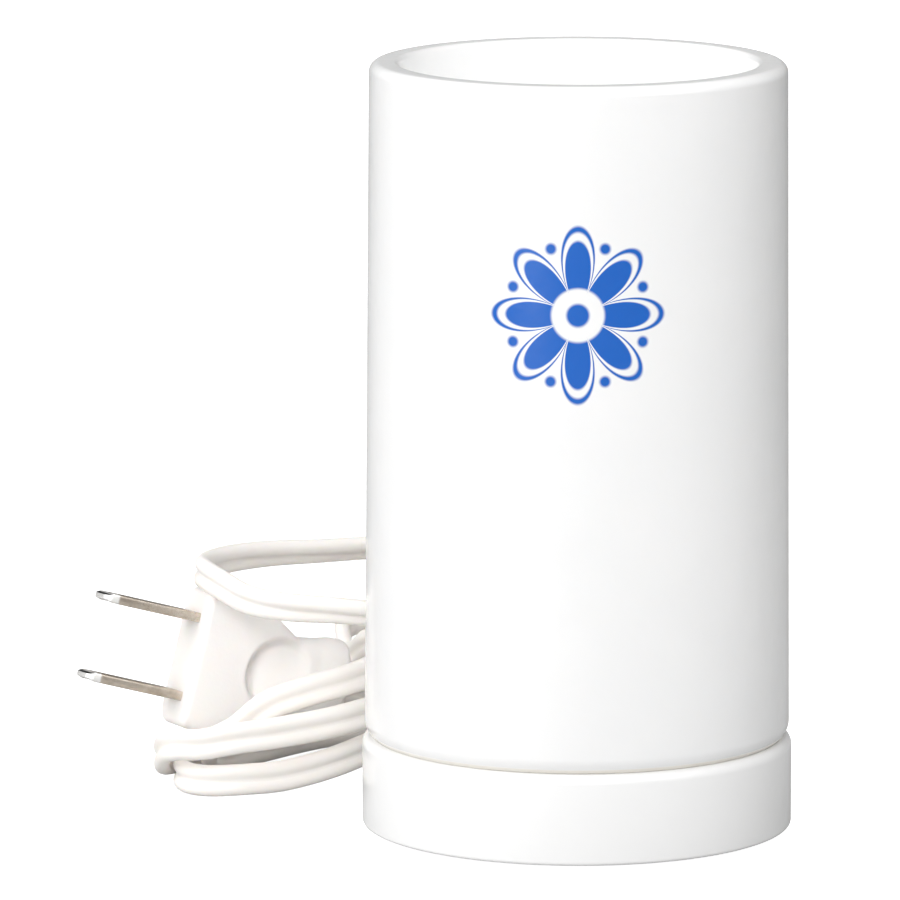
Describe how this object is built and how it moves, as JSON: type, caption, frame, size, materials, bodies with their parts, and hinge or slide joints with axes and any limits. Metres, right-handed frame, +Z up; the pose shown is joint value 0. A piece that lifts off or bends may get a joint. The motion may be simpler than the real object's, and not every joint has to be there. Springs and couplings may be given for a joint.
{
  "type": "electric aroma lamp",
  "caption": "Cylindrical electric aroma lamp: a glazed porcelain shade with an oil dish on top lifts off a round base with a small screw-in bulb, flat twin flex and two-blade plug",
  "frame": {"origin": "on the lamp's axis, on the surface its feet stand on", "axes": "+Z up along the lamp's axis, -Y toward the viewer of the picture, +X to the viewer's right"},
  "size_m": [0.1121, 0.123, 0.1184],
  "materials": {
    "porcelain": null,
    "gloss_white": "glossy white",
    "matt_white": "fine matt white",
    "heatproof": "matt cream moulding",
    "flex": "satin off-white",
    "plug": "satin cream",
    "rubber": "matt grey",
    "steel": "zinc plated",
    "brass": "pressed strip",
    "nickel": "bright nickel",
    "solder": "dull solder",
    "black_glass": "opaque black",
    "clear_glass": "clear",
    "tungsten": "dark wire",
    "core_black": "black insulation",
    "core_white": "white insulation"
  },
  "bodies": {
    "base": {"lamp_base": "gloss_white", "bottom_cover": "matt_white", "cover_screw_1": "steel", "cover_screw_2": "steel", "cover_screw_3": "steel", "foot_1": "rubber", "foot_2": "rubber", "foot_3": "rubber", "socket_body": "heatproof", "socket_shell": "brass", "socket_screw_1": "steel", "socket_screw_2": "steel", "terminal_screw_1": "steel", "terminal_screw_2": "steel", "centre_terminal": "brass", "shell_terminal": "brass", "centre_contact": "brass", "shell_rivet": "brass", "cord_relief": "flex", "cord_inner": "flex", "cord_clamp": "matt_white", "clamp_screw_1": "steel", "clamp_screw_2": "steel", "core_live": "core_black", "core_neutral": "core_white", "cord_lead": "flex", "cord_hank": "flex", "cord_tail": "flex", "plug_body": "plug", "plug_blade_1": "nickel", "plug_blade_2": "nickel"},
    "shade": {"porcelain_shade": "porcelain"},
    "bulb_tip": {"bulb_tip": "solder", "bulb_insulator": "black_glass"},
    "bulb": {"bulb_cap": "nickel", "bulb_glass": "clear_glass", "bulb_stem": "clear_glass", "filament_support_1": "nickel", "filament_support_2": "nickel", "bulb_filament": "tungsten"}
  },
  "joints": [
    {"name": "shade_lift", "type": "slide", "parent": "base", "child": "shade", "axis": [0, 0, 1], "range_m": [0, 0.06]},
    {"name": "bulb_rise", "type": "slide", "parent": "base", "child": "bulb_tip", "axis": [0, 0, 1], "range_m": [0, 0.0078]},
    {"name": "bulb_turn", "type": "hinge", "parent": "bulb_tip", "child": "bulb", "pos_m": [0, 0, 0], "axis": [0, 0, 1], "range_deg": [0, 1080]}
  ],
  "couplings": [
    {"joint": "bulb_rise", "follows": "bulb_turn", "m_per_rad": 0.00040425}
  ]
}
